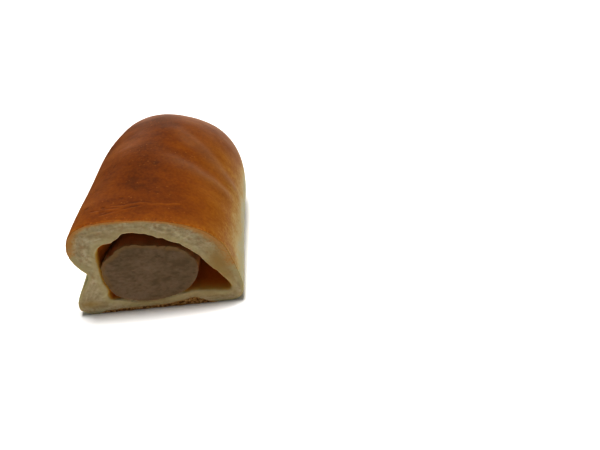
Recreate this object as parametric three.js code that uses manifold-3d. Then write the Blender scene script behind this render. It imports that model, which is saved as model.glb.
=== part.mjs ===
// Half of a baked sausage roll: a soft bread roll cut across its middle, with the
// sausage that runs through it showing in the cut. Millimetres, +Z up. The roll lies
// along Y on its flat underside, the cut faces -Y and the rounded end faces +Y.
// The origin is on the table, under the middle of the roll.

import * as THREE from "three";
import { mergeVertices } from "three/addons/utils/BufferGeometryUtils.js";
import Module from "manifold-3d";

// --- Driving dimensions ------------------------------------------------------------

const LENGTH = 79.4; // cut face to rounded end, along the roll's axis
const HALF_WIDTH = 26.1; // of the roll's body behind the cut
const BODY_X = -2.1; // the middle of the body, which swells a little more to -X
const HEIGHT = 37.5; // of the roll's body behind the cut
const LEAN = 0.055; // how far the body's top leans to -X for each mm of height
const CUT_SKEW = THREE.MathUtils.degToRad(6.2); // the knife went through at this angle
const END_ROUNDING = 33; // length of the rounded end, in plan
const END_RISE = 32.5; // length of the rounded end, from the side
const NOSE = 12.5; // height of the tip of the rounded end
const PLAN_FULLNESS = 2.35; // how blunt the end is in plan: 2 is an ellipse, more is squarer
const SIDE_FULLNESS = 2.45; // and from the side
const DOME_FULLNESS = 1.95; // and the body's section above its middle
const BASE_FULLNESS = 3.2; // and below its middle
const BODY_STARTS = 0.53; // share of the length over which the cut's form becomes the body's
const CREASE_DEPTH = 2.4; // of the crease in the side at -X
const TUCK_DEPTH = 1.6; // of the groove where the dough is tucked under the rounded end
const CRUST_WAVES = [0.65, 0.45]; // heights of the slow waves that the dough baked with

const WALL_GAP = 0.3; // between the sausage and the bread that it lies on
const SAUSAGE_TIP = 13; // bread left beyond the sausage at the rounded end
const HOLLOW_TIP = 10; // bread left beyond the hollow at the rounded end
const TIP_ROUNDING = 12; // length of the round tips of the sausage and the hollow
const TIP_FULLNESS = 2.1; // how blunt those tips are
const MEAT_LUMPS = [0.3, 0.25]; // heights of the lumps along the sausage

// --- Outlines at the cut, seen from the cut side, X to the right and Z up -----------

// The crust, from the middle of the underside round by +X. The side at -X is pinched
// in under its bulge, and a foot of the base sticks out below the pinch.
const CRUST_AT_CUT = [
  [0, 0], [9, 0], [18, 0], [22.8, 0.4], [24.8, 3.2], [24.7, 8], [23.6, 13],
  [22.1, 18.4], [20, 23.8], [15.7, 28.8], [9.4, 32.4], [2, 34.7], [-6, 35.7],
  [-14, 35.8], [-20, 34.7], [-24, 31.5], [-25.4, 27], [-24.9, 22.3],
  [-22.8, 18.7], [-21.2, 16.4], [-22.9, 12.4], [-25.6, 7.7], [-26.8, 3.6],
  [-25.3, 0.4], [-18, 0], [-9, 0],
];

// The air round the sausage, from under the middle of the sausage round by +X.
const HOLLOW_AT_CUT = [
  [-3, 3.1], [2.9, 4.3], [7.6, 6.2], [13.6, 6.1], [18.4, 4.8], [21.2, 5.1],
  [19.2, 9.1], [15, 15.4], [10.8, 21.6], [5.6, 26.1], [1, 28.3], [-4, 30.5],
  [-8, 31], [-12.2, 28.2], [-16.4, 26.6], [-17.2, 24.4], [-17.2, 17.4],
  [-17.3, 12], [-16.7, 6], [-14.6, 5.6], [-9.6, 3.7],
];

const SAUSAGE_AT_CUT = [
  [-3, 3.5], [2.8, 4.7], [7.6, 7.2], [10.8, 11.6], [11.6, 16.4], [9.6, 20.9],
  [6.4, 24.2], [1.9, 25.4], [-2.6, 26.2], [-6.8, 26.9], [-10.4, 26.2],
  [-13.2, 23.4], [-16.1, 20.4], [-16.7, 16], [-16.4, 11], [-14.5, 6.9],
  [-9.2, 4.2],
];

const CENTRE_HEIGHT = 15; // the outlines are turned into radii about this height
const HOLLOW_CENTRE_X = -2.5; // and the sausage's and the hollow's about this X

// --- Helpers: outlines as radii, and closed bodies made of rings --------------------

// A smooth closed outline as a function that gives its radius at any angle.
function radiusOf(outline, centreX) {
  const points = outline.map(([x, z]) => new THREE.Vector3(x - centreX, z - CENTRE_HEIGHT, 0));
  const curve = new THREE.CatmullRomCurve3(points, true, "centripetal");
  const samples = curve
    .getPoints(outline.length * 24)
    .map((p) => [Math.atan2(p.y, p.x), Math.hypot(p.x, p.y)])
    .sort((a, b) => a[0] - b[0]);
  return (angle) => {
    const wrapped = Math.atan2(Math.sin(angle), Math.cos(angle));
    const after = samples.findIndex(([a]) => a >= wrapped);
    const next = after < 0 ? samples[0] : samples[after];
    const last = after <= 0 ? samples.at(-1) : samples[after - 1];
    const span = Math.abs(next[0] - last[0]);
    const share = span > 1e-6 && span < 1 ? (wrapped - last[0]) / (next[0] - last[0]) : 0;
    return THREE.MathUtils.lerp(last[1], next[1], share);
  };
}

// A D-shaped outline: a dome over a flat underside with round lower corners.
function domeRadius(angle, halfWidth, height) {
  const rise = Math.sin(angle);
  const reach = rise > 0 ? height - CENTRE_HEIGHT : CENTRE_HEIGHT;
  const power = rise > 0 ? DOME_FULLNESS : BASE_FULLNESS;
  const across = Math.abs(Math.cos(angle) / halfWidth) ** power;
  const upDown = Math.abs(rise / reach) ** power;
  return (across + upDown) ** (-1 / power);
}

// How full a rounded end is, from 0 at its tip to 1 where the straight body begins.
function fullness(distance, rounding, power) {
  const left = 1 - Math.min(Math.max(distance / rounding, 0), 1);
  return (1 - left ** power) ** (1 / power);
}

// A smooth bump, 1 at its middle and near 0 two widths away.
const bump = (value, middle, width) => Math.exp(-(((value - middle) / width) ** 2));

// A closed body from rings of points that all have the same count, with a point at
// the middle of the first ring and one beyond the last.
function ringBody(rings, firstMiddle, tip) {
  const count = rings[0].length;
  const vertices = [firstMiddle, ...rings.flat(), tip];
  const index = [];
  const at = (ring, k) => 1 + ring * count + (k % count);
  for (let k = 0; k < count; k++) {
    index.push(0, at(0, k), at(0, k + 1));
    index.push(vertices.length - 1, at(rings.length - 1, k + 1), at(rings.length - 1, k));
  }
  for (let ring = 0; ring + 1 < rings.length; ring++)
    for (let k = 0; k < count; k++) {
      index.push(at(ring, k), at(ring + 1, k), at(ring + 1, k + 1));
      index.push(at(ring, k), at(ring + 1, k + 1), at(ring, k + 1));
    }
  const geometry = new THREE.BufferGeometry();
  const flat = vertices.flatMap((v) => [v.x, v.y, v.z]);
  geometry.setAttribute("position", new THREE.Float32BufferAttribute(flat, 3));
  geometry.setIndex(index);
  return geometry;
}

// Places along a body, from 0 to 1, closer together towards both ends.
const CROWDING = 0.085;
const stations = (count) =>
  Array.from({ length: count }, (_, i) => {
    const even = i / (count - 1);
    return even - CROWDING * Math.sin(2 * Math.PI * even);
  });

// The cut's plane, as the Y of the knife at each X.
const cutY = (x) => -LENGTH / 2 + x * Math.tan(CUT_SKEW);

// --- The bread ----------------------------------------------------------------------

const crustAtCut = radiusOf(CRUST_AT_CUT, 0);
const CRUST_RINGS = 34;
const CRUST_SIDES = 76;

// From 0 just behind the cut to 1 where the roll's straight body begins.
const awayFromCut = (along) => THREE.MathUtils.smoothstep(along, 0.02, BODY_STARTS);

// The pinch in the side at -X runs on as a crease that grows shallow, and the dough is
// tucked under at the rounded end, which leaves a groove up from the underside.
function crustRadius(angle, along) {
  const body = domeRadius(angle, HALF_WIDTH, HEIGHT);
  const atEnd = THREE.MathUtils.smoothstep(along, 0.7, 0.92);
  const crease = CREASE_DEPTH * bump(angle, Math.PI - 0.02, 0.16) * (1 - 0.6 * along);
  const tuck = TUCK_DEPTH * bump(angle, 1.5 * Math.PI, 0.3) * atEnd;
  const longWave = CRUST_WAVES[0] * Math.sin(9 * along + 2 * angle);
  const shortWave = CRUST_WAVES[1] * Math.sin(15 * along - 3 * angle + 1.8);
  const waves = (longWave + shortWave) * Math.max(0, Math.sin(angle));
  const risen = body + BODY_X * Math.cos(angle) - crease - tuck + waves;
  return THREE.MathUtils.lerp(crustAtCut(angle), risen, awayFromCut(along));
}

function crustRing(along) {
  const fromEnd = (1 - along) * LENGTH;
  const wide = fullness(fromEnd, END_ROUNDING, PLAN_FULLNESS);
  const tall = fullness(fromEnd, END_RISE, SIDE_FULLNESS);
  return Array.from({ length: CRUST_SIDES }, (_, k) => {
    const angle = (2 * Math.PI * k) / CRUST_SIDES;
    const radius = crustRadius(angle, along);
    const lean = LEAN * awayFromCut(along);
    const up = radius * Math.sin(angle) * tall;
    const x = radius * Math.cos(angle) * wide - lean * up;
    const z = Math.max(0, THREE.MathUtils.lerp(CENTRE_HEIGHT, NOSE, 1 - tall) + up);
    const y = THREE.MathUtils.lerp(cutY(x), LENGTH / 2, along);
    return new THREE.Vector3(x, y, z);
  });
}

function crustGeometry() {
  const rings = stations(CRUST_RINGS).slice(0, -1).map(crustRing);
  const middle = new THREE.Vector3(0, cutY(0), CENTRE_HEIGHT);
  return ringBody(rings, middle, new THREE.Vector3(0, LENGTH / 2, NOSE));
}

// --- The sausage and the hollow that it lies in ----------------------------------------

const sausageAtCut = radiusOf(SAUSAGE_AT_CUT, HOLLOW_CENTRE_X);
const hollowAtCut = radiusOf(HOLLOW_AT_CUT, HOLLOW_CENTRE_X);
const FILLING_SIDES = 64;
const FILLING_RINGS = 22;
const CORNER = Math.atan2(5.1 - CENTRE_HEIGHT, 21.2 - HOLLOW_CENTRE_X); // the hollow's sharpest
const SAUSAGE_LENGTH = LENGTH - SAUSAGE_TIP;
const HOLLOW_LENGTH = LENGTH - HOLLOW_TIP;

// The minced meat is a little lumpy along its length. depth is the distance from the cut.
function sausageRadius(angle, depth) {
  const shortLumps = MEAT_LUMPS[0] * Math.sin(5 * angle + 0.16 * depth);
  const longLumps = MEAT_LUMPS[1] * Math.sin(3 * angle - 0.25 * depth);
  const lumps = (shortLumps + longLumps) * THREE.MathUtils.smoothstep(depth, 0, 15);
  return sausageAtCut(angle) + lumps;
}

// The hollow closes in on the sausage away from the cut, but never touches it.
function hollowRadius(angle, depth) {
  const meat = sausageRadius(angle, depth);
  const loose = Math.max(hollowAtCut(angle), meat + WALL_GAP);
  const closing = THREE.MathUtils.smoothstep(depth, 8, 52);
  return THREE.MathUtils.lerp(loose, meat + 3 * WALL_GAP, closing);
}

// Rings from the cut to a round tip. before is how far they start in front of the cut.
function fillingGeometry(radiusAt, length, before) {
  const ring = (along) => {
    const depth = along * (length + before) - before;
    const full = fullness(length - depth, TIP_ROUNDING, TIP_FULLNESS);
    return Array.from({ length: FILLING_SIDES }, (_, k) => {
      const angle = CORNER + (2 * Math.PI * k) / FILLING_SIDES;
      const radius = radiusAt(angle, depth) * full;
      const x = HOLLOW_CENTRE_X + radius * Math.cos(angle);
      const z = CENTRE_HEIGHT + radius * Math.sin(angle);
      return new THREE.Vector3(x, cutY(x) + depth, z);
    });
  };
  const centre = (depth) =>
    new THREE.Vector3(HOLLOW_CENTRE_X, cutY(HOLLOW_CENTRE_X) + depth, CENTRE_HEIGHT);
  const rings = stations(FILLING_RINGS).slice(0, -1).map(ring);
  return ringBody(rings, centre(-before), centre(length));
}

const sausageGeometry = fillingGeometry(sausageRadius, SAUSAGE_LENGTH, 0);
const hollowGeometry = fillingGeometry(hollowRadius, HOLLOW_LENGTH, 2);

// --- Cutting the hollow out of the bread -------------------------------------------------

const wasm = await Module();
wasm.setup();

function solidOf(geometry) {
  const merged = mergeVertices(geometry, 1e-4);
  return new wasm.Manifold(
    new wasm.Mesh({
      numProp: 3,
      vertProperties: merged.attributes.position.array,
      triVerts: new Uint32Array(merged.index.array),
    }),
  );
}

function geometryOf(solid) {
  const mesh = solid.getMesh();
  const geometry = new THREE.BufferGeometry();
  geometry.setAttribute("position", new THREE.BufferAttribute(mesh.vertProperties, 3));
  geometry.setIndex(new THREE.BufferAttribute(mesh.triVerts, 1));
  geometry.computeVertexNormals();
  return geometry;
}

const breadGeometry = geometryOf(solidOf(crustGeometry()).subtract(solidOf(hollowGeometry)));

// --- The part -------------------------------------------------------------------------------

function piece(name, geometry, color, roughness) {
  const material = new THREE.MeshStandardMaterial({ color, roughness, metalness: 0 });
  const mesh = new THREE.Mesh(geometry, material);
  mesh.name = name;
  return mesh;
}

const roll = new THREE.Group();
roll.add(piece("bread", breadGeometry, 0xb5703a, 0.5));
roll.add(piece("sausage", sausageGeometry, 0x8a7466, 0.6));

// The outlines sit a little off centre, so the whole is moved over the origin.
const middle = new THREE.Box3().setFromObject(roll).getCenter(new THREE.Vector3());
roll.position.set(-middle.x, -middle.y, 0);

export default roll;
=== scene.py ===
import math

import bpy
import numpy as np
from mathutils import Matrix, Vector, kdtree, noise
from mathutils.bvhtree import BVHTree


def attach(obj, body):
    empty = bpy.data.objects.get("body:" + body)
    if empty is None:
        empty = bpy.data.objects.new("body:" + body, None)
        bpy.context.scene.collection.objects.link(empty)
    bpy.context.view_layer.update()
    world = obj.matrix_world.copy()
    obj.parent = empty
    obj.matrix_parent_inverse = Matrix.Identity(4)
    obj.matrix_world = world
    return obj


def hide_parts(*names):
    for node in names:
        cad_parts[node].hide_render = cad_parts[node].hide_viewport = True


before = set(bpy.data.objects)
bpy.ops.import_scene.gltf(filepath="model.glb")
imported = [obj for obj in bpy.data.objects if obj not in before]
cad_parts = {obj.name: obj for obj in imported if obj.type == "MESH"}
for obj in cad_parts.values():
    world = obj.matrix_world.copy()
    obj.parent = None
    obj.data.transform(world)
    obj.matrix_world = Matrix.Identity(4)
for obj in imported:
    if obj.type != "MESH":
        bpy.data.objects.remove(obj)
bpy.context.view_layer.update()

# ---------------------------------------------------------------------------------------
# The bread: a soft enriched dough, rolled round the sausage, brushed with egg and baked on
# a tray, then cut across. The crust is one thin skin on the crumb, so all of it is one
# piece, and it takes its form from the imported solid.
# ---------------------------------------------------------------------------------------

MM = 0.001
CUT_SKEW = math.radians(6.2)  # the knife went through at this angle
ON_CUT = 0.1 * MM  # what lies nearer to the cut than this is on it
CUT_FACES = 0.35 * MM  # a face whose corners all lie nearer than this is one of the cut's
BREAD_VOXEL = 0.57 * MM
HOLLOW_MIDDLE = np.array((-1.3, 15.0)) * MM  # X and Z of the hollow's middle

bread_corners = [vertex.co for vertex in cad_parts["bread"].data.vertices]
KNIFE_Y = min(corner.y - corner.x * math.tan(CUT_SKEW) for corner in bread_corners)  # at X = 0


def behind_cut(places):
    """How far places lie behind the knife's cut, in metres."""
    knife_y = KNIFE_Y + places[:, 0] * math.tan(CUT_SKEW)
    return (places[:, 1] - knife_y) * math.cos(CUT_SKEW)


def rows_of(piece, field):
    """Three numbers for each vertex: its place, which is "co", or its "normal"."""
    flat = np.empty(3 * len(piece.data.vertices), np.float32)
    piece.data.vertices.foreach_get(field, flat)
    return flat.reshape(-1, 3).astype(float)


def places_of(piece):
    return rows_of(piece, "co")


def put_places(piece, places):
    piece.data.vertices.foreach_set("co", places.astype(np.float32).ravel())
    piece.data.update()


def put_values(piece, name, values):
    """Keeps a number or a place for each vertex, for the material to read."""
    kind, field = ("FLOAT", "value") if values.ndim == 1 else ("FLOAT_VECTOR", "vector")
    attribute = piece.data.attributes.new(name, kind, "POINT")
    attribute.data.foreach_set(field, values.astype(np.float32).ravel())


def step(values, low, high):
    """0 under low, 1 over high, and smooth between."""
    share = np.clip((values - low) / (high - low), 0, 1)
    return share * share * (3 - 2 * share)


def hump(values, width):
    """1 where values are 0, and near 0 two widths away."""
    return np.exp(-((values / width) ** 2))


def spot(places, x, z, across, up):
    """A hump at X and Z, of a size across and up, all four in millimetres."""
    return hump(places[:, 0] - x * MM, across * MM) * hump(places[:, 2] - z * MM, up * MM)


def look_up(table, values):
    """What a table of rows (value, result) gives for each value, in a line between rows."""
    return np.interp(values, *zip(*table))


def tree_of(places):
    """A tree to search places in, each under its own number."""
    tree = kdtree.KDTree(len(places))
    for number, place in enumerate(places):
        tree.insert(place, number)
    tree.balance()
    return tree


def nearest(places, others):
    """For each place, the distance to the nearest of others and that one's number."""
    tree = tree_of(others)
    found = [tree.find(place) for place in places]
    return np.array([one[2] for one in found]), np.array([one[1] for one in found])


def noise_at(places, size, layers=1):
    """Smooth noise from about -1 to 1 at each place, with lumps of about size metres."""
    if layers == 1:
        return np.array([noise.noise(Vector(place)) for place in places / size])
    fades, finer = 0.9, 2  # how fast the layers grow weaker, and how much finer each is
    lumps = (noise.fractal(Vector(place), fades, finer, layers) for place in places / size)
    return np.array(list(lumps))


def off_line(places, line):
    """How far places lie from a line of points in millimetres, seen from above."""
    found = np.full(len(places), np.inf)
    line = np.array(line) * MM
    for start, end in zip(line[:-1], line[1:]):
        along = end - start
        share = np.clip(((places[:, :2] - start) @ along) / (along @ along), 0, 1)
        off = np.linalg.norm(places[:, :2] - start - share[:, None] * along, axis=1)
        found = np.minimum(found, off)
    return found


def copy_of_node(node, name):
    """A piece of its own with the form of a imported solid, its loose triangles joined."""
    piece = bpy.data.objects.new(name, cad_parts[node].data.copy())
    bpy.context.scene.collection.objects.link(piece)
    piece.data.materials.clear()
    bpy.ops.object.select_all(action="DESELECT")
    bpy.context.view_layer.objects.active = piece
    piece.select_set(True)
    bpy.ops.object.mode_set(mode="EDIT")
    bpy.ops.mesh.select_all(action="SELECT")
    bpy.ops.mesh.remove_doubles(threshold=0.001 * MM)
    bpy.ops.object.mode_set(mode="OBJECT")
    return piece


def apply_modifier(piece, kind, **settings):
    modifier = piece.modifiers.new(kind.lower(), kind)
    for name, setting in settings.items():
        setattr(modifier, name, setting)
    bpy.context.view_layer.objects.active = piece
    bpy.ops.object.modifier_apply(modifier=modifier.name)


def soften(piece, turns):
    """Smooths the facets out of a piece, but not at the cut, which the knife left flat."""
    shares = step(behind_cut(places_of(piece)), 0.4 * MM, 2.5 * MM)
    levels = 10
    group = piece.vertex_groups.new(name="soften")
    for level in range(1, levels + 1):
        members = np.flatnonzero(np.round(shares * levels) == level)
        group.add(members.tolist(), level / levels, "REPLACE")
    apply_modifier(piece, "SMOOTH", factor=0.5, iterations=turns, vertex_group=group.name)
    piece.vertex_groups.clear()


def face_vertices(piece):
    """The vertices of all faces in one row, and where each face starts in it."""
    vertices = np.empty(len(piece.data.loops), np.int32)
    starts = np.empty(len(piece.data.polygons), np.int32)
    piece.data.loops.foreach_get("vertex_index", vertices)
    piece.data.polygons.foreach_get("loop_start", starts)
    return vertices, starts


def divide_faces(piece, chosen):
    """Divides the faces whose vertices are all chosen, so that they hold finer relief."""
    vertices, starts = face_vertices(piece)
    whole = np.minimum.reduceat(chosen[vertices].astype(int), starts) == 1
    mesh = piece.data
    mesh.vertices.foreach_set("select", np.zeros(len(mesh.vertices), bool))
    mesh.edges.foreach_set("select", np.zeros(len(mesh.edges), bool))
    mesh.polygons.foreach_set("select", whole)
    bpy.context.view_layer.objects.active = piece
    bpy.ops.object.mode_set(mode="EDIT")
    bpy.ops.mesh.select_mode(type="FACE")
    bpy.ops.mesh.subdivide(number_cuts=1)
    bpy.ops.object.mode_set(mode="OBJECT")


def cut_flat(piece):
    """Puts what lies within a hair of the cut exactly on it, and nothing under the table."""
    hair = 0.3 * MM
    places = places_of(piece)
    depth = behind_cut(places)
    close = depth < hair
    places[close, 1] -= depth[close] / math.cos(CUT_SKEW)
    places[:, 2] = np.maximum(places[:, 2], 0)
    put_places(piece, places)


def leaves_cut(piece, depth):
    """True for each vertex that a face other than the cut's own reaches."""
    vertices, starts = face_vertices(piece)
    counts = np.diff(np.append(starts, len(vertices)))
    off_cut = np.maximum.reduceat(depth[vertices], starts) > ON_CUT
    found = np.zeros(len(piece.data.vertices), bool)
    found[vertices[np.repeat(off_cut, counts)]] = True
    return found


def even_out(places, depth, chosen):
    """How far to move chosen places near the cut, in X and Z, to lie evenly in a row."""
    reach = 0.7 * MM  # each is evened with those about this far away
    moved_to, fades_to = 2 * MM, 3 * MM  # behind the cut: the move is whole, and has faded
    counted_to = 4 * MM  # and no place farther back counts
    move = np.zeros(places.shape)
    chosen = np.flatnonzero(chosen & (depth < counted_to))
    tree = tree_of(places[chosen])
    for one in chosen[depth[chosen] < fades_to]:
        found = tree.find_range(places[one], 2 * reach)
        near = places[chosen[[number for _, number, _ in found]]]
        shares = hump(np.array([off for _, _, off in found]), reach)
        move[one] = shares @ near / shares.sum() - places[one]
    move[:, 1] = 0
    return move * (1 - step(depth, moved_to, fades_to))[:, None]


bread = copy_of_node("bread", "bread_half")
apply_modifier(bread, "REMESH", mode="VOXEL", voxel_size=BREAD_VOXEL)

# The cut and the crust next to it, which show finer relief, get finer faces.
FINE_BAND = 10 * MM  # of crust behind the cut
FINE_ABOVE = 23 * MM  # above the table
HOLLOW_REACH = 15.5 * MM  # from the hollow's middle, and the crust lies farther out
soften(bread, turns=14)
cut_flat(bread)
places = places_of(bread)
depth = behind_cut(places)
off_middle = np.linalg.norm(places[:, [0, 2]] - HOLLOW_MIDDLE, axis=1)
near_front = (depth < FINE_BAND) & (places[:, 2] > FINE_ABOVE) & (off_middle > HOLLOW_REACH)
divide_faces(bread, (depth < CUT_FACES) | near_front)

# What each vertex belongs to: the crust outside, the hollow's wall, or the cut between.
# A rim vertex belongs to the cut and to what it borders. Its normal tells which side it is
# on, but not next to the cut, where the nearest vertices just behind it tell.
NEXT_TO_CUT = 0.6 * MM
HOLLOW_END = 71 * MM  # behind the cut
WIDEST_GAP = 13 * MM  # between the hollow's wall and the sausage
places = places_of(bread)
normals = rows_of(bread, "normal")
depth = behind_cut(places)
from_middle = places[:, [0, 2]] - HOLLOW_MIDDLE
around = np.degrees(np.arctan2(from_middle[:, 1], from_middle[:, 0])) % 360
faces_out = (from_middle * normals[:, [0, 2]]).sum(1)
sausage_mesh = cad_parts["sausage"].data
meat = BVHTree.FromPolygons(
    [vertex.co for vertex in sausage_mesh.vertices],
    [face.vertices for face in sausage_mesh.polygons],
)
found = [meat.find_nearest(place) for place in places]
meat_places = np.array([one[0] for one in found])
meat_gap = np.array([one[3] for one in found])
off_cut = leaves_cut(bread, depth)
in_hollow = (faces_out < 0) & (meat_gap < WIDEST_GAP) & (depth < HOLLOW_END)
behind_rim = off_cut & (depth > NEXT_TO_CUT) & (depth < 3 * MM)
to_hollow, _ = nearest(places, places[behind_rim & in_hollow])
to_crust, _ = nearest(places, places[behind_rim & ~in_hollow])
in_hollow = np.where(depth > NEXT_TO_CUT, in_hollow, to_hollow < to_crust)
on_hollow = off_cut & in_hollow
on_crust = off_cut & ~in_hollow

# The rim stays sharp, but loses the small steps that the remeshing left in it, and what
# lies next to it on the cut moves with it.
evened = places + even_out(places, depth, on_crust) + even_out(places, depth, on_hollow)
edge = np.flatnonzero(off_cut & (depth < ON_CUT))
from_edge, nearest_edge = nearest(places, places[edge])
follow = (~off_cut & (depth < ON_CUT)) * (1 - step(from_edge, 0, 1.2 * MM))
places = evened + follow[:, None] * (evened - places)[edge][nearest_edge]

below_crust, _ = nearest(places, places[on_crust])
below_hollow, _ = nearest(places, places[on_hollow])

# The dough bakes browner the more degrees it faces up. The side at -X, most of all its
# bulge, and the rim at +X brown as if they faced up more than they do.
BROWNING = (
    (-25, 0.0), (0, 0.02), (10, 0.1), (20, 0.26), (30, 0.4), (45, 0.51), (55, 0.58),
    (65, 0.68), (75, 0.78), (85, 0.86), (102, 0.87),
)
faces_up = np.degrees(np.arcsin(np.clip(normals[:, 2], -1, 1)))
bulge = step(places[:, 2], 16 * MM, 21 * MM) * (1 - step(places[:, 2], 29 * MM, 34 * MM))
faces_up += (12 + 14 * bulge) * step(-normals[:, 0], 0.05, 0.7)
at_cut = 1 - step(depth, 1 * MM, 6 * MM)
faces_up += 10 * at_cut * step(normals[:, 0], 0.3, 0.8) * step(places[:, 2], 8 * MM, 16 * MM)
brown = look_up(BROWNING, faces_up)
top = step(brown, 0.5, 0.75)
# It is darker in a band across the top, at the far end, in patches, high on the side at -X
# and far back on the side at +X, and lighter in a wavy band along the cut.
brown += 0.07 * top * hump(places[:, 1] + 11 * MM, 9 * MM)
brown += 0.09 * step(brown, 0.2, 0.5) * step(places[:, 1], -2 * MM, 14 * MM)
brown += 0.07 * noise_at(places * (0.55, 1.1, 0.8) + 0.04, 4.5 * MM, 3) * step(brown, 0.1, 0.5)
brown += 0.02 * step(brown, 0.2, 0.4)
brown += 0.16 * step(-normals[:, 0], 0.5, 0.9) * step(places[:, 2], 23 * MM, 29 * MM)
wavy_depth = depth + 1.2 * MM * noise_at(places, 1.6 * MM, 2)
brown -= 0.16 * step(brown, 0.35, 0.6) * (1 - step(wavy_depth, 0.5 * MM, 4.5 * MM))
brown += 0.12 * step(places[:, 1], 4 * MM, 22 * MM) * step(normals[:, 0], 0.2, 0.7)
# The flanks stay pale low down, up to a greater height on the pinched side. The middle of
# the underside is brown from the tray.
pinched_side = step(-places[:, 0], 10 * MM, 16 * MM)
brown *= step(places[:, 2], (9 + 6 * pinched_side) * MM, 19 * MM)
under = step(-normals[:, 2], 0.6, 0.95) * (1 - step(abs(places[:, 0]), 14 * MM, 19 * MM))
brown = np.maximum(brown, (0.7 + 0.3 * noise_at(places, 4 * MM, 2)) * under)

# On the cut, the rind is nearly as brown as the crust just behind it.
skin_behind = np.flatnonzero(on_crust & (depth > NEXT_TO_CUT) & (depth < 2.5 * MM))
cut_face = np.flatnonzero(depth < 0.45 * MM)
_, nearest_skin = nearest(places[cut_face], places[skin_behind])
brown[cut_face] = 0.9 * brown[skin_behind][nearest_skin]

# Relief of the crust: two soft ridges across it, slack wrinkles near the cut with a small
# crest beside each, pits where gas broke through, and the slight waves of baked dough.
RIDGE_HEIGHT, RIDGE_WIDTH = 0.6 * MM, 2.6 * MM
WRINKLE_DEPTH, WRINKLE_WIDTH = 0.07 * MM, 0.3 * MM
CREST_HEIGHT, CREST_WIDTH = 0.06 * MM, 0.4 * MM
PIT_DEPTH, PIT_WIDTH = 0.12 * MM, 0.5 * MM
PIT_LENGTH = 0.6  # this and the lines' places, X and Y, are in millimetres
RIDGES = (
    (
        (-1, 10.8), (2.7, 8.9), (6.4, 5.8), (9.9, 3.5), (13.4, 0.9), (16.8, -2.6),
        (20.2, -5.9),
    ),
    (
        (-3.8, -3.9), (-0.2, -7.2), (3.1, -7.6), (6.3, -8.8), (9.5, -9.6), (12.7, -10.9),
        (19, -12.6),
    ),
)
WRINKLES = (
    ((-13.5, -36.1), (-11.7, -35.4), (-9.5, -34.5), (-6.9, -33), (-4.2, -31.9), (-2.3, -31.2)),
    ((-16.7, -33.6), (-14.2, -33.9), (-11.7, -33), (-9.2, -32.6)),
    ((-11.2, -31.6), (-7.7, -31.4), (-4.7, -30), (-0.7, -29.6)),
)
CREST = ((-0.1, -30.8), (2.2, -30.3), (4.1, -29.8), (6.1, -29.1), (8, -28.4))
PITS = ((-19.3, -31.2), (-14, -32.6), (-13.6, -34.7), (-9.3, -28), (-7.7, -18.3), (-1.3, -11))
PALE_MARK = ((-5.5, -20.4), (-3.3, -20.5))
crown = on_crust * step(places[:, 2], 14 * MM, 20 * MM)
lift = 0.10 * MM * noise_at(places, 9 * MM, 2) + 0.03 * MM * noise_at(places, 2.6 * MM)
ridges = sum(hump(off_line(places, ridge), RIDGE_WIDTH) for ridge in RIDGES)
ridges *= step(places[:, 0], -6 * MM, 9 * MM)
lift += RIDGE_HEIGHT * ridges
wavy = places + 0.5 * MM * noise_at(places, 1.8 * MM)[:, None]
wrinkle = sum(hump(off_line(wavy, line), WRINKLE_WIDTH) for line in WRINKLES)
wrinkle *= crown * step(noise_at(places + 0.1, 2.2 * MM), -0.6, 0.2)
moved = wavy + (0, 0.8 * MM, 0)
beside = sum(hump(off_line(moved, line), CREST_WIDTH) for line in WRINKLES)
crest = crown * (hump(off_line(wavy, CREST), CREST_WIDTH) + 0.5 * beside)
pits = sum(hump(off_line(wavy, ((x, y), (x + PIT_LENGTH, y))), PIT_WIDTH) for x, y in PITS)
pits *= crown
lift += CREST_HEIGHT * crest - WRINKLE_DEPTH * wrinkle - PIT_DEPTH * pits
lift *= crown * step(depth, 0.2 * MM, 1.5 * MM)
at_rim = depth < ON_CUT
# Smoothing the facets away took this much off the crust, and it is given back.
smoothed_off = (0.12 + 0.2 * step(depth, 5 * MM, 25 * MM)) * MM
smoothed_off *= on_crust * step(places[:, 2], 1 * MM, 4 * MM)
lift += smoothed_off * ~at_rim

# Away from the cut the hollow closes on the sausage, and where they meet they touch. Its
# edge at the cut is soft where the crumb was pressed, and ragged where it tore. The tables
# go round the hollow by degrees from +X over the top, and give millimetres.
CLOSES_FROM = ((0, 2), (90, 3), (130, 2.5), (155, 1), (180, 1), (200, 0.8), (215, 0.8), (300, 2))
CLOSED_AT = (
    (0, 13), (20, 16), (50, 9), (90, 8), (135, 8), (155, 5), (180, 4.5), (200, 5), (215, 5),
    (300, 13),
)
ROUNDED = (
    (0, 0.4), (20, 0.2), (135, 0.2), (150, 1.3), (185, 1.1), (205, 1.3), (222, 0.3),
    (300, 0.3), (318, 1.4), (340, 1.6), (352, 0.9), (360, 0.4),
)
CLOSES_BY = 0.97  # of its distance to the sausage
closes_from = look_up(CLOSES_FROM, around) * MM
closed_at = look_up(CLOSED_AT, around) * MM
closing = CLOSES_BY * step(depth, closes_from, closed_at)
touching = 1 - step(meat_gap, 0.5 * MM, 0.9 * MM)
closing = on_hollow * np.maximum(closing, touching)
round_size = look_up(ROUNDED, around) * MM
within = np.maximum(round_size - below_hollow, 0)
rounding = np.where(
    on_hollow,
    round_size * (1 - step(depth, 0, 4 * round_size)),
    (round_size - np.sqrt(round_size**2 - within**2)) * at_rim,
)
ragged = 0.4 * MM * noise_at(places * (1, 0.3, 1), 1.7 * MM, 2)
ragged *= hump(below_hollow, 0.9 * MM) * hump(depth, 2 * MM)
ragged *= step(around, 30, 50) * (1 - step(around, 135, 145))
# Low on the side at -X the hollow's edge stands a little further in.
toe = spot(places, -16.6, 9.6, 2.6, 2.7)
toe *= 1.15 * MM * (1 - step(depth, 1.5 * MM, 6 * MM))

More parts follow.
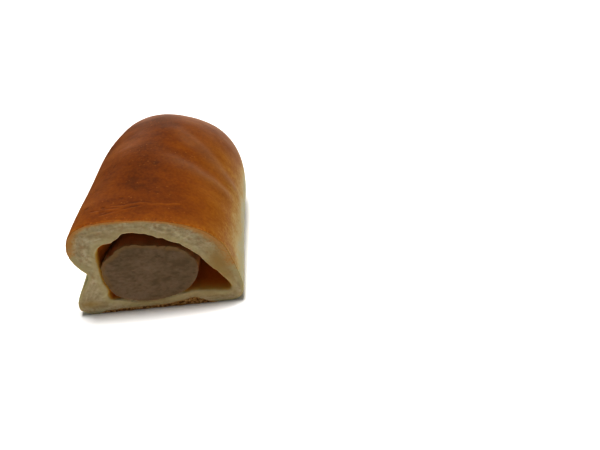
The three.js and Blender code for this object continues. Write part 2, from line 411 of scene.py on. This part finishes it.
# Crumb: pores that follow the rolled dough, torn a little by the knife. Measured along an
# arch round the hollow and inwards from the crust, they are drawn out along the dough.
ARCH_RADIUS = 20  # millimetres
arch = np.stack((np.cos(np.radians(around)), np.sin(np.radians(around))), 1) * ARCH_RADIUS * MM
grain = np.column_stack((arch, 1.4 * np.minimum(below_crust, 8 * MM)))
on_cut = step(0.12 * MM - depth, 0, 0.1 * MM)
torn = 0.10 * MM * noise_at(grain, 1.6 * MM, 3) - 0.06 * MM
torn -= 0.12 * MM * step(noise_at(grain + 0.3, 0.9 * MM, 2), 0.3, 0.7)
torn *= on_cut * step(np.minimum(below_crust, below_hollow), 0.2 * MM, 1.2 * MM)

outward = from_middle / np.linalg.norm(from_middle, axis=1)[:, None]
places += normals * lift[:, None]
places += (meat_places - places) * closing[:, None]
places[:, [0, 2]] += outward * (ragged + smoothed_off * at_rim)[:, None]
places[:, 0] += toe
places[:, 1] += rounding - torn
places[:, 2] = np.maximum(places[:, 2], 0)
put_places(bread, places)

# The rind is thin on top and low down, and thicker on both sides from the middle's height
# up. Over the middle of the underside lies a coarse brown crust, thickest towards +X.
RIND = (
    (0, 2.8), (15, 3.1), (32, 2.8), (50, 1.6), (70, 1.0), (90, 0.8), (130, 1.1), (145, 2.4),
    (165, 2.6), (172, 1.2), (185, 0.8), (235, 0.8), (330, 0.8), (350, 1.6), (360, 2.8),
)
BASE_CRUST = (  # X and the height that it reaches, in millimetres
    (-20.2, -0.6), (-17.7, 1.5), (-11.7, 1.4), (-3.7, 1.2), (1.3, 1.3), (4.3, 2.1),
    (7.3, 2.7), (10, 3.4), (12.3, 2.6), (14.8, 1.3), (17.3, -0.6),
)
rind = below_crust / (look_up(RIND, around) * MM)
rind_at_rim = 0.02 + 0.05 * (1 - step(around, 20, 70))
rind = np.where(at_rim, np.maximum(rind, rind_at_rim), rind)
base_crust = look_up(BASE_CRUST, places[:, 0] / MM) - places[:, 2] / MM
# Juices from the meat colour the hollow's walls, and painted shade darkens them where they lie
# hidden:
# how much of both is on the hollow's edge, and how slowly the walls darken behind it.
LIP_STAIN_AND_SHADE = (
    (0, 0.3), (140, 0.3), (150, 0.6), (215, 0.6), (222, 0), (305, 0), (315, 0.5), (350, 0.5),
    (360, 0.3),
)
DARKENS_OVER = (
    (0, 1), (140, 1), (160, 2.5), (210, 3), (230, 1), (300, 8), (340, 8), (360, 3),
)
juice = look_up(LIP_STAIN_AND_SHADE, around) * np.clip(1 - below_hollow / round_size, 0, 1) ** 2
stained_and_shaded = juice + depth / (look_up(DARKENS_OVER, around) * 1.2 * MM)
juice = np.where(on_hollow & (depth > ON_CUT), stained_and_shaded, juice)
put_values(bread, "rind", rind)
put_values(bread, "base_crust", base_crust)
put_values(bread, "juice", np.clip(juice, 0, 1))
put_values(bread, "below_hollow", below_hollow)
put_values(bread, "brown", np.clip(brown, 0, 1))
pale_mark = hump(off_line(wavy, PALE_MARK), 0.7 * MM)
# Painted shade darkens the wrinkles and pits, and a painted highlight lightens the crests beside
# them; the pale mark is the crust's own lighter colour.
put_values(bread, "marks", crest - 0.9 * wrinkle - pits + 0.9 * crown * pale_mark)
# The ridges and the far end of the crown look greyer, a painted sheen standing in for reflected
# light, and the side at -X is dull.
put_values(bread, "sheen", crown * (ridges + 0.8 * step(places[:, 1], 8 * MM, 30 * MM)))
put_values(bread, "dull", step(-normals[:, 0], 0.3, 0.8))
put_values(bread, "behind_cut", depth)
put_values(bread, "grain", grain)
# Places where the cut's crumb is browner: X, Z, size across and up in millimetres, and how
# much: beside the bulge at +X, in the foot at -X and above the base.
TANNED = (
    (18.8, 17, 3.5, 6, 0.9), (22, 11, 3, 4, 0.6), (15, 3.5, 5, 2, 0.4),
    (-22.2, 4.4, 3.4, 1.3, 0.75), (-2, 2.5, 13, 2, 0.35),
)
put_values(bread, "tanned", sum(share * spot(places, *where) for *where, share in TANNED))


class Link:
    """An output socket of a material's node. Arithmetic on it adds Math nodes."""

    def __init__(self, finish, socket):
        self.finish = finish
        self.socket = socket

    def _maths(self, operation, first, second):
        settings = {"operation": operation}
        return self.finish.add("ShaderNodeMath", settings, {0: first, 1: second})

    def __add__(self, other):
        return self._maths("ADD", self, other)

    def __sub__(self, other):
        return self._maths("SUBTRACT", self, other)

    def __rsub__(self, other):
        return self._maths("SUBTRACT", other, self)

    def __mul__(self, other):
        return self._maths("MULTIPLY", self, other)

    __radd__ = __add__
    __rmul__ = __mul__


class Finish:
    """A node-based material. add() makes a node, sets it up and joins its inputs."""

    def __init__(self, name):
        self.material = bpy.data.materials.new(name)
        self.material.use_nodes = True
        self.tree = self.material.node_tree
        self.tree.nodes.clear()
        self.place = self.add("ShaderNodeTexCoord", out="Object")

    def add(self, kind, settings=None, values=None, out=0):
        node = self.tree.nodes.new(kind)
        for name, setting in (settings or {}).items():
            if name == "stops":
                self._set_stops(node.color_ramp, setting)
            else:
                setattr(node, name, setting)
        for key, value in (values or {}).items():
            if isinstance(value, Link):
                self.tree.links.new(value.socket, node.inputs[key])
            else:
                node.inputs[key].default_value = value
        return Link(self, node.outputs[out]) if node.outputs else node

    @staticmethod
    def _set_stops(ramp, stops):
        while len(ramp.elements) < len(stops):
            ramp.elements.new(0.5)
        for element, (place, colour) in zip(ramp.elements, stops):
            element.position = place
            element.color = (*colour, 1)

    def attribute(self, name, out="Fac"):
        return self.add("ShaderNodeAttribute", {"attribute_name": name}, out=out)

    def noise(self, size, detail=3.0, stretch=(1, 1, 1), place=None):
        """Smooth noise from 0 to 1, with lumps of about size metres."""
        mapped = self.add(
            "ShaderNodeMapping", None, {"Vector": place or self.place, "Scale": stretch}
        )
        values = {"Vector": mapped, "Scale": 0.5 / size, "Detail": detail}
        return self.add("ShaderNodeTexNoise", None, values)

    def cells(self, size, place=None):
        """Scattered points, one in each size metres: the distance to the nearest."""
        values = {"Vector": place or self.place, "Scale": 1 / size}
        return self.add("ShaderNodeTexVoronoi", None, values)

    def between(self, value, low, high):
        """0 where value is under low, 1 where it is over high, and smooth between."""
        settings = {"interpolation_type": "SMOOTHSTEP", "clamp": True}
        values = {"Value": value, "From Min": low, "From Max": high}
        return self.add("ShaderNodeMapRange", settings, values)

    def ramp(self, value, stops):
        return self.add("ShaderNodeValToRGB", {"stops": stops}, {"Fac": value}, "Color")

    def mix(self, share, first, second):
        """Two colours, mixed by the share of the second."""
        first, second = (c if isinstance(c, Link) else (*c, 1) for c in (first, second))
        # The colours' sockets go by number, because those for numbers have the same names.
        return self.add(
            "ShaderNodeMix", {"data_type": "RGBA"}, {0: share, 6: first, 7: second}, 2
        )

    def bump(self, height, depth):
        """Relief of depth metres from a height of 0 to 1."""
        values = {"Height": height, "Distance": depth, "Strength": 1.0}
        return self.add("ShaderNodeBump", None, values)

    def surface(self, values):
        shader = self.add("ShaderNodeBsdfPrincipled", None, values)
        self.add("ShaderNodeOutputMaterial", None, {"Surface": shader})
        return self.material


dough = Finish("baked bread")
rind_share = dough.attribute("rind")
from_wall = dough.attribute("below_hollow")
marks = dough.attribute("marks")
streaks = dough.attribute("grain", "Vector")
fine = dough.noise(0.45 * MM, 4)
patchy = dough.noise(3.2 * MM, 5, (0.6, 1.1, 1))
broad = dough.noise(9 * MM, 2, (0.8, 1.2, 1))

# The crust, from pale dough to the brown of the top.
CRUST_TONES = (
    (0.00, (0.43, 0.38, 0.205)),
    (0.12, (0.47, 0.35, 0.14)),
    (0.28, (0.41, 0.235, 0.045)),
    (0.42, (0.335, 0.145, 0.014)),
    (0.58, (0.275, 0.103, 0.007)),
    (0.75, (0.225, 0.074, 0.006)),
    (0.90, (0.175, 0.053, 0.006)),
    (1.00, (0.125, 0.038, 0.006)),
)
baked = dough.attribute("brown") + (fine - 0.5) * 0.36 + (patchy - 0.5) * 0.34
# A painted highlight lightens the crests and painted shade darkens the wrinkles and pits; the pale
# mark is a lighter colour.
baked = baked + (broad - 0.5) * 0.16 - marks * 0.16
by_cut = 1.0 - dough.between(dough.attribute("behind_cut"), 0.4 * MM, 2.2 * MM)
dots = dough.between(dough.noise(0.35 * MM, 3), 0.5, 0.62)
baked = baked + by_cut * (dots - 0.35) * 0.15 * dough.between(baked, 0.2, 0.4)
crust_colour = dough.ramp(baked, CRUST_TONES)
specks = (1.0 - dough.between(dough.cells(1.5 * MM), 0.10, 0.24)) * dough.between(patchy, 0.5, 0.6)
crust_colour = dough.mix(specks * 0.35, crust_colour, (0.42, 0.20, 0.06))
# Painted sheen: the ridges and the far end of the crown are mixed towards grey, as reflected
# light.
crust_colour = dough.mix(dough.attribute("sheen") * 0.18, crust_colour, (0.28, 0.22, 0.17))
# Cut through, the rind is lighter and tanner than it is outside.
rind_colour = dough.mix(dough.between(baked, 0.1, 0.4), (0.50, 0.43, 0.25), (0.55, 0.32, 0.115))
crust_colour = dough.mix(dough.between(rind_share, 0.0, 0.15), crust_colour, rind_colour)

# The crumb: pale, most even next to the hollow, with pinker and greyer spots elsewhere.
pores = dough.noise(0.9 * MM, 5, (0.55, 0.55, 1), streaks) * 0.65 + dough.noise(0.5 * MM, 4) * 0.35
crumb_colour = dough.ramp(
    pores, ((0.39, (0.44, 0.35, 0.215)), (0.5, (0.53, 0.445, 0.285)), (0.60, (0.60, 0.52, 0.35)))
)
blotches = dough.between(dough.noise(1.6 * MM, 3), 0.48, 0.66)
spots = dough.between(dough.noise(0.6 * MM, 3), 0.54, 0.66)
spots = spots * (1.0 - dough.between(rind_share, 2.0, 6.0) * 0.75)
crumb_colour = dough.mix(blotches * 0.4, crumb_colour, (0.45, 0.345, 0.19))
crumb_colour = dough.mix(spots * 0.5, crumb_colour, (0.43, 0.29, 0.175))
rim_dots = dots * (1.0 - dough.between(rind_share, 0.4, 1.8)) * dough.between(baked, 0.2, 0.4)
crumb_colour = dough.mix(rim_dots * 0.5, crumb_colour, (0.44, 0.22, 0.08))
evenness = 1.0 - dough.between(from_wall + (patchy - 0.5) * 3 * MM, 1.2 * MM, 2.8 * MM)
crumb_colour = dough.mix(evenness * 0.6, crumb_colour, (0.56, 0.48, 0.28))
tan_share = dough.attribute("tanned") * (0.5 + patchy)
crumb_colour = dough.mix(tan_share, crumb_colour, (0.44, 0.30, 0.12))

# The meat's juices colour the hollow's wall, less so at its edge, and it is painted darker deeper
# in as shade.
stain_and_shade = dough.attribute("juice") + (fine - 0.5) * 0.3
wall_colour = dough.ramp(
    stain_and_shade,
    (
        (0.15, (0.50, 0.40, 0.20)),
        (0.45, (0.66, 0.42, 0.09)),
        (0.75, (0.68, 0.32, 0.03)),
        (1.00, (0.55, 0.19, 0.014)),
    ),
)
inner_colour = dough.mix(dough.between(stain_and_shade, 0.1, 0.3), crumb_colour, wall_colour)
past_rind = rind_share + (fine - 0.5) * 0.7 + (patchy - 0.5) * 0.8
bread_colour = dough.mix(dough.between(past_rind, 0.2, 1.2), crust_colour, inner_colour)

# The coarse crust of the base, with pale grains in it.
grains = dough.noise(0.42 * MM, 3)
base_colour = dough.ramp(
    grains,
    ((0.38, (0.16, 0.070, 0.012)), (0.52, (0.40, 0.21, 0.060)), (0.66, (0.58, 0.40, 0.20))),
)
on_base = dough.between(
    dough.attribute("base_crust") + (grains - 0.5) * 1.6 + (patchy - 0.5) * 2, -0.1, 0.35
)
bread_colour = dough.mix(on_base, bread_colour, base_colour)
# The egg gives the crust some gloss, and the crumb has none.
in_crust = 1.0 - dough.between(rind_share, 0.0, 0.5)
grit = dough.bump(dough.noise(0.4 * MM, 4), 0.03 * MM)
roughness = 0.86 - in_crust * (1.0 - dough.attribute("dull")) * 0.44 + (patchy - 0.5) * 0.2
bread.data.materials.append(
    dough.surface(
        {
            "Base Color": bread_colour,
            "Roughness": roughness,
            "Specular IOR Level": 0.16,
            "Subsurface Weight": 0.3,
            "Subsurface Radius": (1.0, 0.5, 0.25),
            "Subsurface Scale": 2 * MM,
            "Normal": grit,
        }
    )
)
bread.data.polygons.foreach_set("use_smooth", np.ones(len(bread.data.polygons), bool))
bread.data.set_sharp_from_angle(angle=math.radians(50))
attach(bread, "root")
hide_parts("bread")

# ---------------------------------------------------------------------------------------
# The sausage: finely minced meat in a thin skin, cooked inside the dough. It lies on the
# hollow's floor, and the same knife cut it.
# ---------------------------------------------------------------------------------------

SAUSAGE_VOXEL = 0.45 * MM

sausage = copy_of_node("sausage", "sausage_half")
apply_modifier(sausage, "REMESH", mode="VOXEL", voxel_size=SAUSAGE_VOXEL)
soften(sausage, turns=12)
cut_flat(sausage)
divide_faces(sausage, behind_cut(places_of(sausage)) < CUT_FACES)

places = places_of(sausage)
depth = behind_cut(places)
on_skin = leaves_cut(sausage, depth)
below_skin, _ = nearest(places, places[on_skin])
from_middle = places[:, [0, 2]] - HOLLOW_MIDDLE
outward = from_middle / np.linalg.norm(from_middle, axis=1)[:, None]
meat_relief = 0.05 * MM * noise_at(places * (0.6, 1, 1), 1.4 * MM, 3)
meat_relief -= 0.18 * MM * step(noise_at(places + 0.2, 0.9 * MM, 2), 0.4, 0.75)
meat_relief *= step(0.12 * MM - depth, 0, 0.1 * MM) * step(below_skin, 0.1 * MM, 0.6 * MM)
bitten = 0.45 * MM * noise_at(places, 1.5 * MM, 2) - 0.1 * MM
bitten *= hump(below_skin, 0.8 * MM) * hump(depth, 1.5 * MM) * step(places[:, 2], 9 * MM, 14 * MM)
by_wall = 0.7 * MM * step(-outward[:, 0], 0.5, 0.9) * hump(places[:, 2] - 17.5 * MM, 4 * MM)
bitten += by_wall * hump(below_skin, 2 * MM) * hump(depth, 3 * MM)
places[:, [0, 2]] += outward * bitten[:, None]
places[:, 1] -= meat_relief
put_places(sausage, places)
put_values(sausage, "below_skin", below_skin)
put_values(sausage, "faces_up", 0.15 + 0.7 * step(outward[:, 1] - 0.4 * outward[:, 0], -0.2, 0.6))
put_values(sausage, "behind_cut", depth)

# Spots on the cut: X, Z, size across and up in millimetres, and how much lighter they are.
MEAT_SPOTS_AND_PAINTED_LIGHT = (
    (-5.7, 22.8, 1.6, 1.0, -0.8), (-2.1, 25.4, 1.3, 0.7, -0.5), (6.7, 25.0, 0.6, 0.4, -1),
    (-1.9, 23.6, 0.5, 0.5, 1.1), (-1.6, 14.9, 0.5, 0.4, 1.0), (6.0, 15.5, 0.5, 0.4, 1.2),
    (-6.7, 12.6, 0.4, 0.4, -1.6), (-5.6, 10.6, 0.4, 0.4, -1.6), (-6.5, 11.6, 0.4, 0.4, 1.0),
    (9.5, 19.0, 1.2, 1.0, -0.7), (5.3, 13.8, 1.0, 0.7, -0.7), (5.1, 8.0, 1.2, 0.5, -0.6),
    # Painted light: this broad spot lightens the bottom of the cut, where shade falls.
    (-1.5, 6.5, 8.0, 2.5, 1.0),
)
lightness = sum(light * spot(places, *where) for *where, light in MEAT_SPOTS_AND_PAINTED_LIGHT)
put_values(sausage, "lightness", lightness)

mince = Finish("cooked sausage")
under_skin = mince.attribute("below_skin")
from_cut = mince.attribute("behind_cut")
smears = mince.noise(0.6 * MM, 5, (0.7, 1, 1))
lumps = mince.noise(2.2 * MM, 4, (0.7, 1, 1))
# The lightness holds real spots and painted light low on the cut.
meat = smears * 0.5 + lumps * 0.5 + mince.attribute("lightness") * 0.1
meat_colour = mince.ramp(
    meat,
    ((0.36, (0.19, 0.127, 0.064)), (0.5, (0.245, 0.166, 0.093)), (0.64, (0.295, 0.207, 0.13))),
)
skin_colour = mince.ramp(
    mince.noise(2 * MM, 3), ((0.3, (0.36, 0.19, 0.065)), (0.7, (0.48, 0.29, 0.12)))
)
# The skin is browner than the meat, and tints the cut's rim where it faced up.
rim_share = 1.0 - mince.between(under_skin + (lumps - 0.5) * 2.5 * MM, 0.2 * MM, 1.6 * MM)
rim_colour = mince.mix(rim_share * mince.attribute("faces_up"), meat_colour, (0.31, 0.19, 0.075))
sausage_colour = mince.mix(
    mince.between(from_cut, 0.05 * MM, 0.5 * MM), rim_colour, skin_colour
)
sausage.data.materials.append(
    mince.surface(
        {
            "Base Color": sausage_colour,
            "Roughness": 0.6,
            "Specular IOR Level": 0.2,
            "Subsurface Weight": 0.3,
            "Subsurface Radius": (1.0, 0.4, 0.25),
            "Subsurface Scale": 1.5 * MM,
            "Normal": mince.bump(mince.noise(0.4 * MM, 4), 0.04 * MM),
        }
    )
)
sausage.data.polygons.foreach_set("use_smooth", np.ones(len(sausage.data.polygons), bool))
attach(sausage, "root")
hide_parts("sausage")

# ---------------------------------------------------------------------------------------
# The table, the lights and the camera. A white table, a soft light right above the roll, a
# weak broad one behind it, a little light from all round, and a camera that looks down on
# the cut.
# ---------------------------------------------------------------------------------------

CAMERA_AZIMUTH = math.radians(-2)
CAMERA_ELEVATION = math.radians(38)
CAMERA_DISTANCE = 0.2338  # from the point of the table that it aims at
AIM = Vector((0.0456, 0.0031, 0))  # the table beside the roll, at the picture's middle
SENSOR_WIDTH = 36.0
FOCAL_SHARE = 620 / 600  # focal length over the picture's width
CONTRAST = 1.5  # of the picture, as a power of its brightness

camera_data = bpy.data.cameras.new("camera")
camera_data.sensor_width = SENSOR_WIDTH
camera_data.lens = SENSOR_WIDTH * FOCAL_SHARE
camera_data.clip_start = 0.01
camera = bpy.data.objects.new("camera", camera_data)
bpy.context.scene.collection.objects.link(camera)
towards_camera = Vector(
    (
        math.sin(CAMERA_AZIMUTH) * math.cos(CAMERA_ELEVATION),
        -math.cos(CAMERA_AZIMUTH) * math.cos(CAMERA_ELEVATION),
        math.sin(CAMERA_ELEVATION),
    )
)
camera.location = AIM + CAMERA_DISTANCE * towards_camera
camera.rotation_mode = "QUATERNION"
camera.rotation_quaternion = (-towards_camera).to_track_quat("-Z", "Y")
bpy.context.scene.camera = camera
bpy.context.scene.view_settings.view_transform = "Standard"
bpy.context.scene.view_settings.gamma = 1 / CONTRAST


def soft_light(name, place, towards, width, height, power):
    """A rectangle of light at a place, facing another."""
    light = bpy.data.lights.new(name, "AREA")
    light.shape = "RECTANGLE"
    light.size = width
    light.size_y = height
    light.energy = power
    lamp = bpy.data.objects.new(name, light)
    lamp.location = place
    lamp.rotation_mode = "QUATERNION"
    lamp.rotation_quaternion = (Vector(towards) - Vector(place)).to_track_quat("-Z", "Y")
    bpy.context.scene.collection.objects.link(lamp)


soft_light("light above", (0.0, 0.065, 1.0), (0.0, 0.065, 0), 0.35, 0.22, 13.0)
soft_light("light behind", (0, 1.2, 0.34), (0, 0, 0.03), 1.6, 0.6, 3.3)

# The surroundings light the roll weakly, but the camera sees them as white as the table.
AMBIENT = 0.25
world = bpy.data.worlds.new("studio")
world.use_nodes = True
sky = world.node_tree.nodes["Background"].inputs
sky["Color"].default_value = (1, 1, 1, 1)
seen = world.node_tree.nodes.new("ShaderNodeLightPath").outputs["Is Camera Ray"]
brightness = world.node_tree.nodes.new("ShaderNodeMapRange")
brightness.inputs["To Min"].default_value = AMBIENT
world.node_tree.links.new(seen, brightness.inputs["Value"])
world.node_tree.links.new(brightness.outputs[0], sky["Strength"])
bpy.context.scene.world = world

TABLE_RADIUS = 0.45
bpy.ops.object.select_all(action="DESELECT")
bpy.ops.mesh.primitive_circle_add(vertices=96, radius=TABLE_RADIUS, fill_type="NGON")
table = bpy.context.active_object
table.name = "table"
table_finish = Finish("white table")
table.data.materials.append(
    table_finish.surface({"Base Color": (0.93, 0.93, 0.93, 1), "Roughness": 0.8})
)
